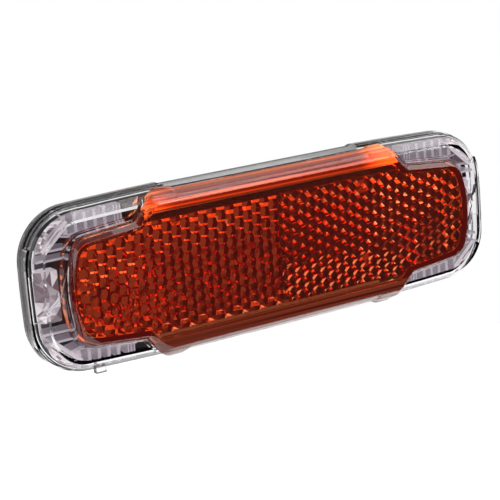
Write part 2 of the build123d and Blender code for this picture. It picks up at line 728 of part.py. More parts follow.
CLAMP_BEND = [(8.7, -6.4), (5.6, -6.4), (4.5, -8.7)]
STRIP_BEND = [(3.3, -8.8), (3.3, SLOT_Z), (12.4, SLOT_Z)]
for side, sign in (("left", -1), ("right", 1)):
    keep(terminal_key(sign * POLE_X), f"terminal_key_{side}")
    keep(bent_strip(sign * POLE_X, CLAMP_BEND, 2.8), f"clamp_spring_{side}")
contact_strips = bent_strip(-POLE_X, STRIP_BEND, 2.4) + bent_strip(POLE_X, STRIP_BEND, 2.4)
keep(contact_strips, "contact_strips")
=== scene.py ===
import math
import random

import bmesh
import bpy
from mathutils import Matrix, Vector


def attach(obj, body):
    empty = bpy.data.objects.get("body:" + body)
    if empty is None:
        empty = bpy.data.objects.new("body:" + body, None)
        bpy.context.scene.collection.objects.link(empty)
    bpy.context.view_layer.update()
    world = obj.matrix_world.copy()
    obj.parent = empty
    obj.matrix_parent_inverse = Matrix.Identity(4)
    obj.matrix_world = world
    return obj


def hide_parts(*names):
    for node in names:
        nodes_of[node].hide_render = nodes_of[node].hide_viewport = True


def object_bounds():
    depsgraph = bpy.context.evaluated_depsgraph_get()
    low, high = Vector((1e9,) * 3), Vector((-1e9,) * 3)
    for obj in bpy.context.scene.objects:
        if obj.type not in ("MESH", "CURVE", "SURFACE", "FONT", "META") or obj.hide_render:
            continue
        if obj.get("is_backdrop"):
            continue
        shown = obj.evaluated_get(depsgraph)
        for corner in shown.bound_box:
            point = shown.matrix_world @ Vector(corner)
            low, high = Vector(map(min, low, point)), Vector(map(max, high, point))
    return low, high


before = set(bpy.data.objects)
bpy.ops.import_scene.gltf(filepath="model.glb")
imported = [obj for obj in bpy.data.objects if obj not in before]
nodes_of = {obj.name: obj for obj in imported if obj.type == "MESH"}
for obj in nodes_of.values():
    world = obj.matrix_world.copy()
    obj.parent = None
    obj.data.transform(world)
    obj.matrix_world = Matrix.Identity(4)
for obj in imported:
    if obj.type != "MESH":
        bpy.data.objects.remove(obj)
cad_low, cad_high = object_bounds()
scene = bpy.context.scene
scene.view_settings.view_transform = "Standard"


# The photograph's view: from the left of the light and a little above it, with the light rolled
# slightly in the picture. The lens length comes from the spacing of the cube corners.
camera_data = bpy.data.cameras.new("camera")
camera_data.lens = 117.33
camera_data.sensor_width = 36.0
camera_data.clip_start = 0.01
camera_data.clip_end = 20.0
camera = bpy.data.objects.new("camera", camera_data)
scene.collection.objects.link(camera)
camera_right = Vector((0.84526, -0.52821, -0.08084))
camera_up = Vector((0.19263, 0.16009, 0.96814))
camera_back = Vector((-0.49843, -0.83389, 0.23707))
turned = Matrix((camera_right, camera_up, camera_back)).transposed().to_4x4()
camera.matrix_world = Matrix.Translation((-0.18810, -0.32112, 0.08684)) @ turned
scene.camera = camera


# Studio: white paper behind the light, which shows round it and through its clear plastic. The
# room is grey towards the camera, so that the lenses keep their depth.
PAPER_BRIGHT = 0.95
ROOM_GREY = 0.06
PAPER_EDGE = (-0.3, 0.25)
FLOOR_DROP = 0.12
FLOOR_RADIUS = 0.32
FLOOR_BRIGHT = 0.46


def add_node(tree, kind, inputs=None, **settings):
    """Add a node, set its options, and give its inputs a constant or a link."""
    made = tree.nodes.new(kind)
    for name, value in settings.items():
        setattr(made, name, value)
    for name, value in (inputs or {}).items():
        socket = made.inputs[name]
        if isinstance(value, bpy.types.NodeSocket):
            tree.links.new(value, socket)
        else:
            socket.default_value = value
    return made


def split(tree, vector):
    """The X, Y and Z of a vector."""
    return add_node(tree, "ShaderNodeSeparateXYZ", {0: vector}).outputs


def graded(tree, value, low, high, start=0.0, stop=1.0, ease="LINEAR"):
    """A value's range carried over to another range."""
    made = add_node(
        tree,
        "ShaderNodeMapRange",
        {"Value": value, "From Min": low, "From Max": high, "To Min": start, "To Max": stop},
        interpolation_type=ease,
    )
    return made.outputs["Result"]


def mixed(tree, share, first, second):
    """A colour between two others."""
    made = add_node(
        tree, "ShaderNodeMix", {"Factor": share, 6: first, 7: second}, data_type="RGBA"
    )
    return made.outputs[2]


world = bpy.data.worlds.new("studio")
scene.world = world
world.use_nodes = True
tree = world.node_tree
tree.nodes.clear()
direction = add_node(tree, "ShaderNodeTexCoord").outputs["Generated"]
behind = graded(
    tree, split(tree, direction)["Y"], *PAPER_EDGE, ROOM_GREY, PAPER_BRIGHT, "SMOOTHSTEP"
)
seen = add_node(tree, "ShaderNodeLightPath").outputs["Is Camera Ray"]
strength = add_node(tree, "ShaderNodeMix", {"Factor": seen, 2: behind, 3: 1.0}, data_type="FLOAT")
paper = add_node(
    tree, "ShaderNodeBackground", {"Color": (1, 1, 1, 1), "Strength": strength.outputs[0]}
)
add_node(tree, "ShaderNodeOutputWorld", {"Surface": paper.outputs[0]})

bpy.ops.mesh.primitive_circle_add(
    vertices=96, radius=FLOOR_RADIUS, fill_type="NGON", location=(0, 0, -FLOOR_DROP)
)
floor = bpy.context.object
floor.name = "floor"
floor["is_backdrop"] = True
floor_paint = bpy.data.materials.new("floor_paint")
floor_paint.use_nodes = True
tree = floor_paint.node_tree
tree.nodes.clear()
grain = add_node(tree, "ShaderNodeTexNoise", {"Scale": 300.0, "Detail": 2.0}).outputs["Fac"]
tone = mixed(tree, grain, (0.80, 0.80, 0.81, 1), (0.86, 0.86, 0.86, 1))
matt = add_node(tree, "ShaderNodeBsdfPrincipled", {"Base Color": tone, "Roughness": 0.9})
white = add_node(tree, "ShaderNodeEmission", {"Strength": FLOOR_BRIGHT})
both = add_node(tree, "ShaderNodeAddShader", {0: matt.outputs[0], 1: white.outputs[0]})
add_node(tree, "ShaderNodeOutputMaterial", {"Surface": both.outputs[0]})
floor.data.materials.append(floor_paint)

# A strip softbox arches over the light to the right: the bevels show it, and with the one in
# front of it the cube corners of the right half. Two more stand at the sides, and a weak one by
# the camera lights the left half. Each is as bright all over as its radiance, the last number.
for name, place, width, height, radiance in (
    ("softbox_top", (0.55, 0.0, 0.62), 0.32, 0.80, 1.8),
    ("softbox_front", (0.36, -0.42, 0.58), 0.50, 0.80, 1.3),
    ("softbox_left", (-0.85, 0.05, 0.35), 0.35, 0.6, 1.6),
    ("softbox_right", (0.75, -0.35, 0.25), 0.25, 0.6, 1.2),
    ("softbox_camera", (-0.62, -1.05, 0.33), 0.9, 0.8, 0.13),
):
    light = bpy.data.lights.new(name, "AREA")
    light.shape = "RECTANGLE"
    light.size = width
    light.size_y = height
    light.energy = radiance * math.pi * width * height
    lamp = bpy.data.objects.new(name, light)
    scene.collection.objects.link(lamp)
    lamp.location = place
    lamp.rotation_euler = Vector(place).to_track_quat("Z", "Y").to_euler()


# Base housing: a tapered tray, moulded in black nylon with a fine spark-eroded texture. The
# clear lens is welded to its flange, and its back lies against the luggage rack.

# From here on lengths are in millimetres, which MM turns into metres. What is called back, front
# or top counts forward from the rack, and X and Z count from the middle of the light.
MM = 0.001
FLOAT = "NodeSocketFloat"
COLOUR = "NodeSocketColor"
WELD_REACH = 0.002
TONGUE_FRONT = 12.55
SCRATCH_STRETCH = (40, 900, 900)
SCRATCH_TURN = (0.3, 0.5, 0.9)
SCRATCH_ROUGHNESS = 0.2
DUST_COLOUR = (0.40, 0.37, 0.33, 1)


def position(tree):
    """Where a point lies on the light, in metres."""
    return add_node(tree, "ShaderNodeTexCoord").outputs["Object"]


def stretched(tree, place, scale, turn=(0, 0, 0)):
    """A place turned and scaled, for a pattern that runs one way."""
    made = add_node(
        tree, "ShaderNodeMapping", {"Vector": place, "Rotation": turn, "Scale": scale}
    )
    return made.outputs[0]


def noise(tree, place, scale, detail=2.0):
    """A noise over a place, as a level and as a colour."""
    made = add_node(
        tree, "ShaderNodeTexNoise", {"Vector": place, "Scale": scale, "Detail": detail}
    )
    return made.outputs


def calculate(tree, operation, *values):
    """One step of arithmetic."""
    made = add_node(tree, "ShaderNodeMath", dict(enumerate(values)), operation=operation)
    return made.outputs[0]


def product(tree, first, *others):
    """All of some values multiplied."""
    for other in others:
        first = calculate(tree, "MULTIPLY", first, other)
    return first


def new_material(name, constants=None):
    """A material with its output and its Principled shader, with constants on its sockets."""
    made = bpy.data.materials.new(name)
    made.use_nodes = True
    tree = made.node_tree
    tree.nodes.clear()
    shader = add_node(tree, "ShaderNodeBsdfPrincipled", constants)
    add_node(tree, "ShaderNodeOutputMaterial", {"Surface": shader.outputs[0]})
    return made, tree, shader


def node_group(name, inputs, outputs):
    """An empty shader group with named float or colour sockets."""
    group = bpy.data.node_groups.new(name, "ShaderNodeTree")
    for label, kind in inputs:
        group.interface.new_socket(label, in_out="INPUT", socket_type=kind)
    for label, kind in outputs:
        group.interface.new_socket(label, in_out="OUTPUT", socket_type=kind)
    given = add_node(group, "NodeGroupInput").outputs
    return group, given, add_node(group, "NodeGroupOutput").inputs


# The skin that a mould or a die leaves: fine grain, slow changes of gloss and a few scratches.
skin, given, result = node_group(
    "worn_skin",
    [("Grain", FLOAT), ("Smooth", FLOAT), ("Rough", FLOAT), ("Scratches", FLOAT)],
    [("Roughness", FLOAT), ("Height", FLOAT)],
)
place = position(skin)
hairs = noise(skin, stretched(skin, place, SCRATCH_STRETCH, SCRATCH_TURN), 1.0, 1.0)["Fac"]
scratch = product(skin, graded(skin, hairs, 0.68, 0.74), given["Scratches"])
gloss = graded(skin, noise(skin, place, 70.0)["Fac"], 0.3, 0.7, given["Smooth"], given["Rough"])
rough = calculate(skin, "MULTIPLY_ADD", scratch, SCRATCH_ROUGHNESS, gloss)
grain = noise(skin, place, given["Grain"], 3.0)["Fac"]
skin.links.new(rough, result["Roughness"])
skin.links.new(calculate(skin, "SUBTRACT", grain, scratch), result["Height"])

# Road dust, which settles on faces that look up and in hollows of a slow noise.
dust, given, result = node_group(
    "road_dust", [("Colour", COLOUR), ("Dust", FLOAT)], [("Colour", COLOUR)]
)
up = split(dust, add_node(dust, "ShaderNodeNewGeometry").outputs["Normal"])["Z"]
cloud = noise(dust, position(dust), 120.0, 6.0)["Fac"]
share = product(dust, cloud, graded(dust, up, -0.6, 1.0, 0.15), given["Dust"])
dust.links.new(mixed(dust, share, given["Colour"], DUST_COLOUR), result["Colour"])


def give_skin(tree, shader, grain, smooth, rough, depth, scratches=0.3):
    """Drive a material's roughness and bump by the worn skin."""
    worn = add_node(
        tree,
        "ShaderNodeGroup",
        {"Grain": grain, "Smooth": smooth, "Rough": rough, "Scratches": scratches},
        node_tree=skin,
    )
    tree.links.new(worn.outputs["Roughness"], shader.inputs["Roughness"])
    bump = add_node(
        tree, "ShaderNodeBump", {"Height": worn.outputs["Height"], "Distance": depth * MM}
    )
    tree.links.new(bump.outputs[0], shader.inputs["Normal"])


def dusty_plastic(name, colour, dustiness, **surface):
    """An opaque moulded plastic with its skin and some road dust."""
    made, tree, shader = new_material(name)
    dusted = add_node(
        tree, "ShaderNodeGroup", {"Colour": colour, "Dust": dustiness}, node_tree=dust
    )
    tree.links.new(dusted.outputs[0], shader.inputs["Base Color"])
    give_skin(tree, shader, **surface)
    return made


def flatten(piece):
    """Replace a piece's mesh by what its modifiers make of it."""
    evaluated = piece.evaluated_get(bpy.context.evaluated_depsgraph_get())
    mesh = bpy.data.meshes.new_from_object(evaluated)
    piece.modifiers.clear()
    old = piece.data
    piece.data = mesh
    bpy.data.meshes.remove(old)


def shade(mesh, crease):
    """Shade a mesh smooth up to a crease angle."""
    mesh.shade_smooth()
    mesh.set_sharp_from_angle(angle=math.radians(crease))


def make_piece(form, name, material, crease=None):
    """An object made of a form, shaded smooth if it has a crease angle."""
    mesh = bpy.data.meshes.new(name)
    form.to_mesh(mesh)
    form.free()
    mesh.materials.append(material)
    if crease:
        shade(mesh, crease)
    piece = bpy.data.objects.new(name, mesh)
    scene.collection.objects.link(piece)
    return piece


def welded_copy(name, material, crease, reshape=None):
    """A copy of a CAD node with its loose triangles joined, and its form touched up."""
    form = bmesh.new()
    form.from_mesh(nodes_of[name].data)
    bmesh.ops.remove_doubles(form, verts=form.verts, dist=WELD_REACH * MM)
    if reshape:
        reshape(form)
    copy = make_piece(form, name + "_form", material)
    # The CAD's own normals go before the shading, or they would stay in it.
    attributes = copy.data.attributes
    if "custom_normal" in attributes:
        attributes.remove(attributes["custom_normal"])
    shade(copy.data, crease)
    # Weighting by area keeps the large flat faces flat.
    weighted = copy.modifiers.new("normals", "WEIGHTED_NORMAL")
    weighted.keep_sharp = True
    weighted.weight = 100
    flatten(copy)
    return copy


def lower_tongue(form):
    """Set the tongue inside the clear rim back, since the photograph's rim can be seen through."""
    for vertex in form.verts:
        vertex.co.y = max(vertex.co.y, -TONGUE_FRONT * MM)


black_nylon = dusty_plastic(
    "black_nylon", (0.016, 0.015, 0.018, 1), dustiness=0.12,
    grain=4000.0, smooth=0.38, rough=0.55, depth=0.02,
)
base = welded_copy("base_housing", black_nylon, 30.0, lower_tongue)
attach(base, "lamp")
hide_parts("base_housing")


# Mounting studs: two M5 bolts of zinc-plated steel. Their hexagon heads sit in pockets of the
# base, a plain neck is pressed into its back, and the thread stands out behind.
STUD_X = 40.0
THREAD_PITCH = 0.8
THREAD_LENGTH = 11.2
THREAD_RADIUS = 2.5
THREAD_DEPTH = 0.45
POINTS_PER_TURN = 32
NECK_RADIUS = 2.8
HEAD_FLAT = 4.0
HEAD_CORNER = 4.6
HEAD_SEAT = 3.0
HEAD_TOP = 6.5
HEAD_CHAMFER = 0.4
# Steps along a turned form: its radius, its height from the back of the base, and how far a
# hexagon's flats are from the axis where it has them.
TIP_STEPS = ((2.3, 10.9, 0), (2.3, 11.4, 0), (1.9, 12.0, 0))
NECK_STEPS = (
    (HEAD_FLAT * 1.02, -HEAD_TOP, 0),
    (HEAD_CORNER, -HEAD_TOP + HEAD_CHAMFER, HEAD_FLAT),
    (HEAD_CORNER, -HEAD_SEAT, HEAD_FLAT),
    (NECK_RADIUS, -HEAD_SEAT, 0),
    (NECK_RADIUS, -0.02, 0),
    (2.0, 0, 0),
)


def geometry_tree(name, inputs):
    """An empty Geometry Nodes tree with named inputs, the last of them its material."""
    tree = bpy.data.node_groups.new(name, "GeometryNodeTree")
    geometry, material = "NodeSocketGeometry", "NodeSocketMaterial"
    for label, kind in (("Geometry", geometry), *inputs, ("Material", material)):
        tree.interface.new_socket(label, in_out="INPUT", socket_type=kind)
    tree.interface.new_socket("Geometry", in_out="OUTPUT", socket_type=geometry)
    return tree, add_node(tree, "NodeGroupInput").outputs


def end_tree(tree, given, geometry):
    """Turn what a tree makes into plain mesh, in the material that it is given."""
    plain = add_node(tree, "GeometryNodeRealizeInstances", {"Geometry": geometry}).outputs[0]
    coated = add_node(
        tree, "GeometryNodeSetMaterial", {"Geometry": plain, "Material": given["Material"]}
    )
    add_node(tree, "NodeGroupOutput", {0: coated.outputs[0]})


def grow(name, tree, material, **values):
    """A mesh that a Geometry Nodes tree makes from named values."""
    piece = bpy.data.objects.new(name, bpy.data.meshes.new(name))
    scene.collection.objects.link(piece)
    modifier = piece.modifiers.new("form", "NODES")
    modifier.node_group = tree
    sockets = {item.name: item.identifier for item in tree.interface.items_tree
               if item.item_type == "SOCKET" and item.in_out == "INPUT"}
    modifier[sockets["Material"]] = material
    for label, value in values.items():
        modifier[sockets[label]] = value
    flatten(piece)
    return piece


def join(name, pieces):
    """Make one object of several, under a new name."""
    with bpy.context.temp_override(active_object=pieces[0], selected_editable_objects=pieces):
        bpy.ops.object.join()
    pieces[0].name = name
    pieces[0].data.name = name
    return pieces[0]


# A four-sided ridge wound round a plain core.
thread, given = geometry_tree(
    "thread", [("Radius", FLOAT), ("Depth", FLOAT), ("Pitch", FLOAT), ("Length", FLOAT)]
)
turns = calculate(thread, "DIVIDE", given["Length"], given["Pitch"])
flank = calculate(thread, "SUBTRACT", given["Radius"], given["Depth"])
helix = add_node(
    thread,
    "GeometryNodeCurveSpiral",
    {"Resolution": POINTS_PER_TURN, "Rotations": turns, "Start Radius": flank, "End Radius": flank,
     "Height": given["Length"]},
)
# Held upright, each turn of the ridge keeps its sharp edge outward.
upright = add_node(
    thread, "GeometryNodeSetCurveNormal", {"Curve": helix.outputs[0]}, mode="Z_UP"
)
ridge = add_node(
    thread, "GeometryNodeCurvePrimitiveCircle", {"Resolution": 4, "Radius": given["Depth"]}
)
wound = add_node(
    thread,
    "GeometryNodeCurveToMesh",
    {"Curve": upright.outputs[0], "Profile Curve": ridge.outputs[0], "Fill Caps": True},
)
core = add_node(
    thread,
    "GeometryNodeMeshCylinder",
    {"Vertices": 48, "Radius": flank, "Depth": given["Length"]},
)
centre = add_node(
    thread, "ShaderNodeCombineXYZ", {"Z": calculate(thread, "MULTIPLY", given["Length"], 0.5)}
)
raised = add_node(
    thread,
    "GeometryNodeTransform",
    {"Geometry": core.outputs[0], "Translation": centre.outputs[0]},
)
both = add_node(thread, "GeometryNodeJoinGeometry")
thread.links.new(wound.outputs[0], both.inputs[0])
thread.links.new(raised.outputs[0], both.inputs[0])
end_tree(thread, given, both.outputs[0])


def turned_form(name, steps, corners, material):
    """A form turned about Z from its steps, closed at both ends."""
    form = bmesh.new()
    rings = []
    for radius, height, flat in steps:
        ring = []
        for corner in range(corners):
            angle = 2 * math.pi * corner / corners
            reach = radius
            if flat:
                from_flat = angle % (math.pi / 3) - math.pi / 6
                reach = min(radius, flat / math.cos(from_flat))
            ring.append(form.verts.new((reach * math.cos(angle) * MM,
                                        reach * math.sin(angle) * MM, height * MM)))
        rings.append(ring)
    for low, high in zip(rings, rings[1:]):
        for corner in range(corners):
            after = (corner + 1) % corners
            form.faces.new((low[corner], low[after], high[after], high[corner]))
    form.faces.new(rings[0][::-1])
    form.faces.new(rings[-1])
    return make_piece(form, name, material, 32)


def set_in_mesh(piece, matrix):
    """Move a piece's mesh and leave its object at the origin."""
    piece.data.transform(matrix)
    if matrix.determinant() < 0:
        piece.data.flip_normals()


zinc_steel, tree, shader = new_material("zinc_steel", {"Metallic": 1.0})
patches = add_node(tree, "ShaderNodeTexVoronoi", {"Vector": position(tree), "Scale": 900.0})
tone = mixed(tree, patches.outputs["Distance"], (0.60, 0.61, 0.64, 1), (0.45, 0.47, 0.52, 1))
tree.links.new(tone, shader.inputs["Base Color"])
give_skin(tree, shader, grain=2500.0, smooth=0.22, rough=0.38, depth=0.01, scratches=0.6)

# The forms of a bolt stand along Z, and this lays them down with the tip to the back.
POINT_BACK = Matrix.Rotation(-math.pi / 2, 4, "X")
parts = []
for side in (-1, 1):
    shaft = grow(
        "thread", thread, zinc_steel, Radius=THREAD_RADIUS * MM, Depth=THREAD_DEPTH * MM,
        Pitch=THREAD_PITCH * MM, Length=THREAD_LENGTH * MM,
    )
    shade(shaft.data, 40)
    tip = turned_form("tip", TIP_STEPS, 48, zinc_steel)
    neck = turned_form("neck", NECK_STEPS, 72, zinc_steel)
    place = Matrix.Translation((side * STUD_X * MM, 0, 0)) @ POINT_BACK
    for part in (shaft, tip, neck):
        set_in_mesh(part, place)
        parts.append(part)
studs = join("threaded_studs", parts)
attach(studs, "lamp")
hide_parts("mounting_studs")


# Circuit board: glass-epoxy laminate under a dark solder mask, with copper tracks that show as
# lighter lines, and four self-tapping screws that hold it on the posts of the base.
def paint(material, *names):
    """Give CAD nodes a material in place of what they came with."""
    for name in names:
        nodes_of[name].data.materials.clear()
        nodes_of[name].data.materials.append(material)


solder_mask, tree, shader = new_material("solder_mask")
tracks = add_node(
    tree,
    "ShaderNodeTexBrick",
    {"Vector": stretched(tree, position(tree), (1, 1, 1), (math.pi / 2, 0, 0)),
     "Scale": 260.0, "Mortar Size": 0.06, "Mortar Smooth": 0.2, "Brick Width": 1.7,
     "Row Height": 0.5, "Color1": (0.008, 0.055, 0.025, 1), "Color2": (0.010, 0.070, 0.030, 1),
     "Mortar": (0.03, 0.13, 0.06, 1)},
)
tree.links.new(tracks.outputs["Color"], shader.inputs["Base Color"])
give_skin(tree, shader, grain=1800.0, smooth=0.25, rough=0.4, depth=0.01)
paint(solder_mask, "circuit_board")
paint(zinc_steel, "board_screws")


# Components: epoxy packages with a satin skin, a ferrite choke, and two capacitors in sleeves
# with bare aluminium tops, all soldered to the back of the board.
SLEEVE_BACK = 3.4

epoxy = dusty_plastic(
    "epoxy_package", (0.03, 0.03, 0.033, 1), dustiness=0.2,
    grain=6000.0, smooth=0.45, rough=0.6, depth=0.01, scratches=0.0,
)
paint(epoxy, "bridge_rectifier", "driver_chip")

ferrite, tree, shader = new_material("ferrite")
flecks = add_node(tree, "ShaderNodeTexVoronoi", {"Vector": position(tree), "Scale": 1600.0})
tone = mixed(tree, flecks.outputs["Distance"], (0.05, 0.048, 0.05, 1), (0.11, 0.105, 0.11, 1))
tree.links.new(tone, shader.inputs["Base Color"])
give_skin(tree, shader, grain=3000.0, smooth=0.5, rough=0.7, depth=0.02, scratches=0.0)
paint(ferrite, "power_inductor")

sleeve, tree, shader = new_material("capacitor_sleeve")
bare = calculate(tree, "GREATER_THAN", split(tree, position(tree))["Y"], -SLEEVE_BACK * MM)
tone = mixed(tree, bare, (0.02, 0.03, 0.09, 1), (0.62, 0.62, 0.64, 1))
tree.links.new(tone, shader.inputs["Base Color"])
tree.links.new(bare, shader.inputs["Metallic"])
give_skin(tree, shader, grain=900.0, smooth=0.22, rough=0.35, depth=0.01, scratches=0.2)
paint(sleeve, "standlight_capacitor", "smoothing_capacitor")

ceramic, tree, shader = new_material("ceramic_chip")
ends = add_node(
    tree, "ShaderNodeTexWave", {"Vector": position(tree), "Scale": 190.0}, wave_type="BANDS"
)
tone = mixed(tree, ends.outputs["Fac"], (0.30, 0.22, 0.15, 1), (0.65, 0.64, 0.62, 1))
tree.links.new(tone, shader.inputs["Base Color"])
give_skin(tree, shader, grain=3000.0, smooth=0.35, rough=0.5, depth=0.005, scratches=0.0)
paint(ceramic, "small_components")


# Earth spring and wire clamps: strips of brass and of spring steel in a moulded block, with
# two grey keys that are pushed up from below to let go of the wires.
def rolled_metal(name, colour, light):
    """Strip metal with the fine lines that rolling leaves along it."""
    made, tree, shader = new_material(name, {"Metallic": 1.0})
    lines = noise(tree, stretched(tree, position(tree), (9000.0, 300.0, 300.0)), 1.0)["Fac"]
    tree.links.new(mixed(tree, lines, colour, light), shader.inputs["Base Color"])
    give_skin(tree, shader, grain=3500.0, smooth=0.2, rough=0.35, depth=0.005, scratches=0.5)
    return made


brass = rolled_metal("brass_strip", (0.65, 0.44, 0.16, 1), (0.80, 0.58, 0.26, 1))
spring_steel = rolled_metal("spring_steel", (0.48, 0.48, 0.50, 1), (0.66, 0.66, 0.68, 1))
block_plastic = dusty_plastic(
    "clamp_block_plastic", (0.04, 0.04, 0.045, 1), dustiness=0.15,
    grain=2500.0, smooth=0.4, rough=0.55, depth=0.015,
)
key_plastic = dusty_plastic(
    "key_plastic", (0.42, 0.42, 0.43, 1), dustiness=0.25,
    grain=2500.0, smooth=0.35, rough=0.5, depth=0.015,
)
paint(brass, "ground_spring", "contact_strips")
paint(spring_steel, "clamp_spring_left", "clamp_spring_right")
paint(block_plastic, "terminal_housing")
paint(key_plastic, "terminal_key_left", "terminal_key_right")


# LEDs: white ceramic packages with domes of clear silicone over the chip, one at each end of
# the front of the board.
DOME_BACK = 12.43

led_package, tree, shader = new_material("led_package", {"Coat Weight": 0.6})
dome = calculate(tree, "LESS_THAN", split(tree, position(tree))["Y"], -DOME_BACK * MM)
tone = mixed(tree, dome, (0.80, 0.79, 0.77, 1), (0.72, 0.45, 0.42, 1))
tree.links.new(tone, shader.inputs["Base Color"])
give_skin(tree, shader, grain=3000.0, smooth=0.15, rough=0.3, depth=0.003, scratches=0.0)
paint(led_package, "led_left", "led_right")


# Carrier frame: a plate of dark, lightly polished plastic that covers the board and carries
# the light guides. Its long borders between the guides are painted pale, as painted light for
# what comes in through the clear shell.
BORDER_START = 14.3
BORDER_HALF_LENGTH = 31.0

frame_plastic, tree, shader = new_material("frame_plastic")
place = position(tree)
cloud = noise(tree, place, 160.0, 4.0)["Fac"]
tone = mixed(tree, cloud, (0.030, 0.024, 0.030, 1), (0.065, 0.056, 0.068, 1))
along, _, across = split(tree, place)
border = calculate(
    tree, "GREATER_THAN", calculate(tree, "ABSOLUTE", across), BORDER_START * MM
)
middle = calculate(
    tree, "LESS_THAN", calculate(tree, "ABSOLUTE", along), BORDER_HALF_LENGTH * MM
)
# Painted light: the long borders between the guides are made pale.
tone = mixed(tree, product(tree, border, middle), tone, (0.82, 0.82, 0.84, 1))
tree.links.new(tone, shader.inputs["Base Color"])
give_skin(tree, shader, grain=1500.0, smooth=0.2, rough=0.35, depth=0.01)
paint(frame_plastic, "carrier_frame")


# Light guides: clear acrylic channels round three sides of each wing. Frosted ribs across them
# carry a painted glow, dark slots lie between, and a mitre at each corner turns the light round.
RIM_HALF_LENGTH = 60.3
RIM_HALF_HEIGHT = 19.2
RIM_END_BOW = 0.7
RIM_TOP_BOW = 1.3
RIM_CORNER = 12.0
GUIDE_INSET = 3.3
GUIDE_START_X = 37.0
GUIDE_BACK = 12.65
GUIDE_FRONT = 17.0
RAIL_FRONT = 13.6
# The ribs stand in rows above and below the wing: four wide ones, three fine ones next to the
# middle and a block at the far end. Two cross ribs lie past the mitre.
RIB_LOW = 12.6
RIB_HIGH = 16.3
RIB_START, RIB_PITCH, RIB_WIDTH = 41.45, 2.3, 0.8
FINE_START, FINE_PITCH, FINE_WIDTH = 37.6, 0.75, 0.35
BLOCK_X, BLOCK_WIDTH, BLOCK_DROP = 50.9, 1.1, 0.1
CROSS_X, CROSS_LENGTH = 54.0, 7.6
CROSS_Z, CROSS_PITCH, CROSS_WIDTH = 7.8, 2.0, 0.55
RIB_EDGE = 0.12
# Thin walls, each along a line in X and Z.
OUTER_RAIL_WALL = 0.7
INNER_RAIL, INNER_RAIL_WALL = ((37.2, 13.6), (50.5, 12.4)), 0.4
WEB, WEB_WALL = ((49.5, 11.8), (53.2, 12.6)), 0.3
MITRE, MITRE_WALL = ((50.4, 15.0), (56.4, 9.6)), 0.9
MITRE_FRONT = 17.5
PETAL_TIPS = ((51.2, 15.3), (56.8, 10.0))
PETAL_BOW = 1.9
PETAL_BACK = 15.2
PETAL_CROWN = 17.5
PETAL_WALL = 0.4
PETAL_STEPS, PETAL_BANDS = 12, 4

VECTOR = "NodeSocketVector"
ribs, given = geometry_tree(
    "rib_row",
    [("Start", VECTOR), ("Step", VECTOR), ("Count", "NodeSocketInt"), ("Size", VECTOR)],
)
row = add_node(
    ribs,
    "GeometryNodeMeshLine",
    {"Count": given["Count"], "Start Location": given["Start"], "Offset": given["Step"]},
    mode="OFFSET",
)
rib = add_node(ribs, "GeometryNodeMeshCube", {"Size": given["Size"]})
spread = add_node(
    ribs, "GeometryNodeInstanceOnPoints", {"Points": row.outputs[0], "Instance": rib.outputs[0]}
)
end_tree(ribs, given, spread.outputs[0])


def true_normal(tree):
    """The way a flat face looks."""
    return add_node(tree, "ShaderNodeNewGeometry").outputs["True Normal"]


# Painted light: the frosted ribs get a weak painted glow, strongest on their fronts, in place of
# the studio light they catch.
frosted, tree, shader = new_material(
    "frosted_acrylic",
    {"Transmission Weight": 0.35, "Coat Weight": 0.5, "Emission Strength": 1.0},
)
cloud = noise(tree, position(tree), 420.0, 3.0)["Fac"]
tone = mixed(tree, cloud, (0.50, 0.44, 0.48, 1), (0.80, 0.76, 0.80, 1))
tree.links.new(tone, shader.inputs["Base Color"])
forward = graded(tree, split(tree, true_normal(tree))["Y"], -0.1, -0.9, 0.25)
lit = mixed(tree, forward, (0.006, 0.005, 0.007, 1), (0.26, 0.235, 0.26, 1))
tree.links.new(lit, shader.inputs["Emission Color"])
give_skin(tree, shader, grain=1200.0, smooth=0.2, rough=0.4, depth=0.02, scratches=0.2)

# Painted light: each cut and polished face gets a painted glow and a lighter or darker tone
# by its direction, in place of the light it catches.
faceted, tree, shader = new_material(
    "faceted_acrylic",
    {"Transmission Weight": 0.3, "Coat Weight": 1.0, "Emission Strength": 1.0},
)
share = graded(tree, noise(tree, true_normal(tree), 3.5, 1.0)["Fac"], 0.46, 0.60)
tone = mixed(tree, share, (0.30, 0.20, 0.23, 1), (0.92, 0.90, 0.92, 1))
tree.links.new(tone, shader.inputs["Base Color"])
lit = mixed(tree, share, (0.012, 0.006, 0.008, 1), (0.42, 0.39, 0.41, 1))
tree.links.new(lit, shader.inputs["Emission Color"])
give_skin(tree, shader, grain=900.0, smooth=0.05, rough=0.12, depth=0.005, scratches=0.0)


def rib_row(start, step, count, size):
    """A row of soft-edged bars as deep as the guide: start, step and size are in X and Z."""
    deep = GUIDE_FRONT - GUIDE_BACK
    halfway = (GUIDE_FRONT + GUIDE_BACK) / 2
    row = grow(
        "ribs", ribs, frosted,
        Start=(start[0] * MM, -halfway * MM, start[1] * MM),
        Step=(step[0] * MM, 0, step[1] * MM),
        Count=count,
        Size=(size[0] * MM, deep * MM, size[1] * MM),
    )
    bevel = row.modifiers.new("edges", "BEVEL")
    bevel.width = RIB_EDGE * MM
    bevel.segments = 2
    bevel.limit_method = "ANGLE"
    bevel.angle_limit = math.radians(35)
    flatten(row)
    return row


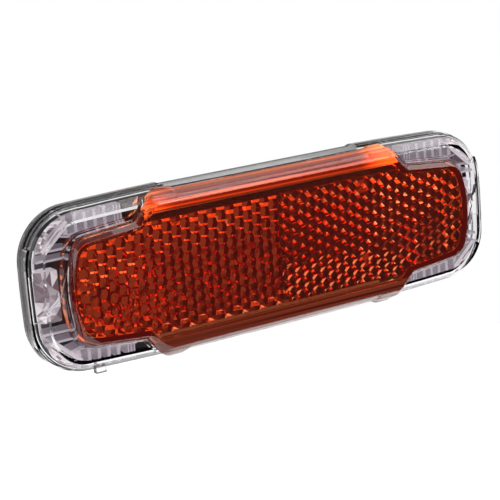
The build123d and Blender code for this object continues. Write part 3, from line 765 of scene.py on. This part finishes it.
def strip(name, points, width, front, material, level=1):
    """A wall of even width along points in X and Z, from the guide's back to its own front."""
    line = [Vector((x, z * level)) for x, z in points]
    form = bmesh.new()
    sections = []
    for index, point in enumerate(line):
        before = line[max(index - 1, 0)]
        after = line[min(index + 1, len(line) - 1)]
        along = (after - before).normalized()
        out = Vector((-along.y, along.x)) * width / 2
        section = []
        for side, height in ((1, GUIDE_BACK), (1, front), (-1, front), (-1, GUIDE_BACK)):
            spot = point + side * out
            section.append(form.verts.new((spot.x * MM, -height * MM, spot.y * MM)))
        sections.append(section)
    for first, second in zip(sections, sections[1:]):
        for side in range(4):
            after = (side + 1) % 4
            form.faces.new((first[side], first[after], second[after], second[side]))
    form.faces.new(sections[0][::-1])
    form.faces.new(sections[-1])
    bmesh.ops.recalc_face_normals(form, faces=form.faces)
    return make_piece(form, name, material, 30)


def bowed_quarter(end, top, end_bow, top_bow, corner):
    """Points of a quarter of a rounded rectangle with bulging sides, from its top to its end."""
    corner_x, corner_z = end - end_bow, top - top_bow
    top_radius = (corner_x**2 + top_bow**2) / (2 * top_bow)
    end_radius = (corner_z**2 + end_bow**2) / (2 * end_bow)
    top_centre = Vector((0, top - top_radius))
    end_centre = Vector((end - end_radius, 0))
    apart = end_centre - top_centre
    along = apart.normalized()
    near = top_radius - corner
    far = end_radius - corner
    reach = (near**2 - far**2 + apart.length**2) / (2 * apart.length)
    rise = math.sqrt(near**2 - reach**2)
    centre = top_centre + along * reach + Vector((along.y, -along.x)) * rise
    start = math.atan2(*(centre - top_centre))
    stop = math.atan2(*(centre - end_centre))
    points = []
    for round_point, radius, first, last, count in (
        (top_centre, top_radius, 0.0, start, 24),
        (centre, corner, start, stop, 14),
        (end_centre, end_radius, stop, math.pi / 2, 8),
    ):
        for step in range(count):
            angle = first + (last - first) * step / count
            points.append(round_point + radius * Vector((math.sin(angle), math.cos(angle))))
    points.append(Vector((end, 0)))
    return points


def petal(level):
    """The crescent outside a mitre: a polished, domed corner that turns light into the ribs."""
    start, stop = (Vector((x, z * level)) for x, z in PETAL_TIPS)
    chord = stop - start
    out = Vector((-chord.y, chord.x)).normalized() * level
    form = bmesh.new()
    bands = []
    for band in range(PETAL_BANDS + 1):
        share = band / PETAL_BANDS
        dome = math.sin(math.pi * (0.2 + 0.75 * share))
        height = PETAL_BACK + (PETAL_CROWN - PETAL_BACK) * dome
        line = []
        for step in range(PETAL_STEPS + 1):
            bow = PETAL_BOW * (share - 0.15) * math.sin(math.pi * step / PETAL_STEPS)
            spot = start + chord * step / PETAL_STEPS + out * bow
            line.append(form.verts.new((spot.x * MM, -height * MM, spot.y * MM)))
        bands.append(line)
    for low, high in zip(bands, bands[1:]):
        for step in range(PETAL_STEPS):
            form.faces.new((low[step], low[step + 1], high[step + 1], high[step]))
    bmesh.ops.solidify(form, geom=list(form.faces), thickness=PETAL_WALL * MM)
    bmesh.ops.recalc_face_normals(form, faces=form.faces)
    return make_piece(form, "petal", faceted, 40)


rim = bowed_quarter(
    RIM_HALF_LENGTH - GUIDE_INSET, RIM_HALF_HEIGHT - GUIDE_INSET, RIM_END_BOW, RIM_TOP_BOW,
    RIM_CORNER - GUIDE_INSET,
)
outer_rail = [point for point in rim if point.x > GUIDE_START_X]
outer_rail += [Vector((point.x, -point.y)) for point in outer_rail[-2::-1]]
MIRROR_X = Matrix.Scale(-1, 4, (1, 0, 0))

for side, side_name in ((-1, "left"), (1, "right")):
    parts = [strip("rail", outer_rail, OUTER_RAIL_WALL, RAIL_FRONT, frosted)]
    for level in (-1, 1):
        middle = level * (RIB_LOW + RIB_HIGH) / 2
        tall = RIB_HIGH - RIB_LOW
        for start, step, count, size in (
            ((RIB_START, middle), (RIB_PITCH, 0), 4, (RIB_WIDTH, tall)),
            ((FINE_START, middle), (FINE_PITCH, 0), 3, (FINE_WIDTH, tall)),
            ((BLOCK_X, middle - BLOCK_DROP * level), (0, 0), 1, (BLOCK_WIDTH, tall)),
            ((CROSS_X, CROSS_Z * level), (0, CROSS_PITCH * level), 2,
             (CROSS_LENGTH, CROSS_WIDTH)),
        ):
            parts.append(rib_row(start, step, count, size))
        parts.append(strip("mitre", MITRE, MITRE_WALL, MITRE_FRONT, faceted, level))
        parts.append(petal(level))
        parts.append(strip("web", WEB, WEB_WALL, GUIDE_FRONT, frosted, level))
        parts.append(strip("rail", INNER_RAIL, INNER_RAIL_WALL, GUIDE_FRONT, frosted, level))
    guide = join(f"guide_{side_name}", parts)
    if side < 0:
        set_in_mesh(guide, MIRROR_X)
    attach(guide, "lamp")
    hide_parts(f"light_guide_{side_name}")


# LED optics: small faceted blocks of clear acrylic over each LED, which throw its light up and
# down into the guide. Their cut faces carry painted light, brighter or darker one by one.
OPTIC_IN_X = 53.6
OPTIC_OUT_X = 58.2
OPTIC_HALF = 5.5
OPTIC_BACK = 13.4
OPTIC_FRONT = 17.4
OPTIC_SEED = 7
COLUMNS, ROWS = 4, 8
FACET_LIFT = (-0.9, 0.8)
FACET_DRIFT = 0.3
EDGE_DROP = 0.7
OUTER_DROP = 1.4

for side, side_name in ((-1, "left"), (1, "right")):
    chance = random.Random(OPTIC_SEED)
    form = bmesh.new()
    front = []
    for column in range(COLUMNS):
        line = []
        for row in range(ROWS):
            x = OPTIC_IN_X + (OPTIC_OUT_X - OPTIC_IN_X) * column / (COLUMNS - 1)
            z = OPTIC_HALF * (2 * row / (ROWS - 1) - 1)
            lift = -EDGE_DROP
            if 0 < column < COLUMNS - 1 and 0 < row < ROWS - 1:
                lift = chance.uniform(*FACET_LIFT)
                x += chance.uniform(-FACET_DRIFT, FACET_DRIFT)
                z += chance.uniform(-FACET_DRIFT, FACET_DRIFT)
            elif column == COLUMNS - 1:
                lift -= OUTER_DROP
            line.append(form.verts.new((x * MM, -(OPTIC_FRONT + lift) * MM, z * MM)))
        front.append(line)
    for column in range(COLUMNS - 1):
        for row in range(ROWS - 1):
            corners = [front[column][row], front[column + 1][row], front[column + 1][row + 1],
                       front[column][row + 1]]
            if (column + row) % 2:
                corners = corners[1:] + corners[:1]
            form.faces.new((corners[0], corners[1], corners[2]))
            form.faces.new((corners[0], corners[2], corners[3]))
    open_edges = [edge for edge in form.edges if edge.is_boundary]
    for item in bmesh.ops.extrude_edge_only(form, edges=open_edges)["geom"]:
        if isinstance(item, bmesh.types.BMVert):
            item.co.y = -OPTIC_BACK * MM
    bmesh.ops.holes_fill(form, edges=[edge for edge in form.edges if edge.is_boundary])
    bmesh.ops.recalc_face_normals(form, faces=form.faces)
    optic = make_piece(form, f"optic_{side_name}", faceted)
    if side < 0:
        set_in_mesh(optic, MIRROR_X)
    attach(optic, "lamp")
    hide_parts(f"led_lens_{side_name}")


# Red reflex lens: one moulding of red acrylic, coloured right through. Its front is flat and
# polished, and its back is a field of cube corners that send light back where it came from.
DYE = (1.0, 0.45, 0.18, 1)
# The red lens's dye darkened as painted shade, for its lower bevel.
PAINTED_SHADE_DYE = (0.66, 0.33, 0.18, 1)
BEVEL_START_Z = 13.9
BEVEL_BACK = 18.3
GLOW_FRONT = 19.6
CORNERS_FRONT = 20.2
MIDDLE_BLEND = 1.0
LEAN_LEFT = 0.03
LEAN_RIGHT = 0.012
FLOW = 0.9
FLOW_FRONT = 21.4
# Where along the light the painted glow of a lobe starts and where it is full, and its level.
RIGHT_LOBE = (23, 31, 0.9)
LEFT_LOBE = (-25, -33, 0.4)
# The bevel is cut at these heights. Its swelling starts at a height and has a depth, one of
# each for the tall middle and for the wings.
BEVEL_CUTS = (18.6, 19.1, 19.5, 19.8, 20.1, 20.4, 20.7, 21.0, 21.3, 21.5)
BEVEL_TOP = 21.7
BEVEL_TALL_Z = 14.6
SWELL_TALL = (18.7, 0.24)
SWELL_WING = (19.85, 0.10)


def reckon(tree, operation, *values):
    """One step of arithmetic on vectors."""
    made = add_node(tree, "ShaderNodeVectorMath", dict(enumerate(values)), operation=operation)
    return made.outputs[0]


def strayed(tree, colour, amount):
    """A random colour as a shift to any side, up to half an amount."""
    centred = reckon(tree, "SUBTRACT", colour, (0.5, 0.5, 0.5))
    made = add_node(
        tree, "ShaderNodeVectorMath", {0: centred, "Scale": amount}, operation="SCALE"
    )
    return made.outputs[0]


red_acrylic, tree, shader = new_material(
    "lens_red",
    {"Base Color": DYE, "Transmission Weight": 1.0, "IOR": 1.585, "Roughness": 0.0,
     "Emission Strength": 1.0},
)
place = position(tree)
along, back, across = split(tree, place)

# Painted light: a glow in streaks along the back edge of the tall middle, in place of light that
# dyed acrylic would let out there. The lower streaks are a dimmer, greyer painted sheen, and the
# rest of the lens keeps a faint red painted glow.
edge = graded(tree, back, -GLOW_FRONT * MM, -BEVEL_BACK * MM, ease="SMOOTHSTEP")
beyond = calculate(
    tree, "GREATER_THAN", calculate(tree, "ABSOLUTE", across), BEVEL_START_Z * MM
)
streaks = noise(tree, stretched(tree, place, (12, 700, 1600)), 1.0)
bands = graded(tree, streaks["Fac"], 0.38, 0.64, 0.15)
upper = graded(tree, across, -MIDDLE_BLEND * MM, MIDDLE_BLEND * MM)
share = product(tree, edge, beyond, bands)
painted_edge_glow = mixed(tree, upper, (0.050, 0.036, 0.032, 1), (0.15, 0.050, 0.014, 1))
glow = mixed(tree, share, (0.011, 0.0009, 0.0005, 1), painted_edge_glow)
# The thick lobes at the ends of the tall middle get the most painted glow, and it is orange.
lobes = [
    graded(tree, along, start * MM, full * MM, stop=level, ease="SMOOTHSTEP")
    for start, full, level in (RIGHT_LOBE, LEFT_LOBE)
]
lobe = product(tree, calculate(tree, "ADD", *lobes), upper, share)
glow = mixed(tree, lobe, glow, (0.95, 0.36, 0.09, 1))
tree.links.new(glow, shader.inputs["Emission Color"])

# Painted shade: the lower bevel gets a darker dye, since less of the light from above reaches it.
under = calculate(tree, "LESS_THAN", across, -BEVEL_START_Z * MM)
tree.links.new(mixed(tree, under, DYE, PAINTED_SHADE_DYE), shader.inputs["Base Color"])

# No two cube corners leave the mould quite alike, and those of the left half are the more worn:
# their faces lean a little, each its own way. The bevels of the tall middle show faint flow
# lines, left by the melt in the mould. The polished front stays true.
behind = calculate(tree, "GREATER_THAN", back, -CORNERS_FRONT * MM)
lean = graded(
    tree, along, -MIDDLE_BLEND * MM, MIDDLE_BLEND * MM, LEAN_LEFT, LEAN_RIGHT
)
cells = add_node(tree, "ShaderNodeTexVoronoi", {"Vector": place, "Scale": 430.0})
leaning = strayed(tree, cells.outputs["Color"], product(tree, lean, behind))
sloped = graded(tree, back, -BEVEL_TOP * MM, -FLOW_FRONT * MM, stop=FLOW)
flowing = strayed(tree, streaks["Color"], product(tree, sloped, beyond))
normal = add_node(tree, "ShaderNodeNewGeometry").outputs["Normal"]
normal = reckon(tree, "ADD", normal, reckon(tree, "ADD", leaning, flowing))
tree.links.new(reckon(tree, "NORMALIZE", normal), shader.inputs["Normal"])

absorb = add_node(
    tree, "ShaderNodeVolumeAbsorption", {"Color": (0.985, 0.48, 0.33, 1), "Density": 300.0}
)
output = next(node for node in tree.nodes if node.type == "OUTPUT_MATERIAL")
tree.links.new(absorb.outputs[0], output.inputs["Volume"])


def sloped_faces(faces):
    """Those faces of the red lens that are neither flat on nor square to its front."""
    return [face for face in faces if -0.97 < face.normal.y < -0.03]


def swell_bevel(form):
    """Cut the red lens's flat bevel into bands and make it slightly convex, as it is moulded."""
    for height in BEVEL_CUTS:
        slanted = sloped_faces(form.faces)
        around = {item for face in slanted for item in (*face.verts, *face.edges)}
        bmesh.ops.bisect_plane(form, geom=[*slanted, *around], dist=1e-7,
                               plane_co=(0, -height * MM, 0), plane_no=(0, 1, 0))
    form.normal_update()
    moves = []
    for vertex in form.verts:
        slanted = sloped_faces(vertex.link_faces)
        tall = abs(vertex.co.z) > BEVEL_TALL_Z * MM
        start, depth = SWELL_TALL if tall else SWELL_WING
        share = (-vertex.co.y / MM - start) / (BEVEL_TOP - start)
        if slanted and 0 < share < 1:
            outward = Vector((0, 0, 0))
            for face in slanted:
                outward += face.normal * face.calc_area()
            outward.y = 0
            moves.append((vertex, outward.normalized() * depth * MM * math.sin(math.pi * share)))
    for vertex, move in moves:
        vertex.co += move


red_lens = welded_copy("red_reflector_lens", red_acrylic, 28.0, swell_bevel)
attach(red_lens, "lamp")
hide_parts("red_reflector_lens")


# Clear lens: a thin shell of clear polycarbonate with a stepped rim and a sloped shoulder. Its
# flat front runs round the red wings, with a wedge in each end before the LED's optic.
clear_plastic, tree, shader = new_material(
    "lens_clear",
    {"Base Color": (0.98, 0.97, 0.985, 1), "Transmission Weight": 1.0, "IOR": 1.45},
)
give_skin(tree, shader, grain=250.0, smooth=0.0, rough=0.02, depth=0.02, scratches=0.15)
shell = welded_copy("clear_lens", clear_plastic, 25.0)
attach(shell, "lamp")
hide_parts("clear_lens")


# The size of the CAD model and of what is shown, both in metres.
size = {
    "cad": [list(cad_low), list(cad_high)],
    "shown": [list(corner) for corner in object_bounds()],
}
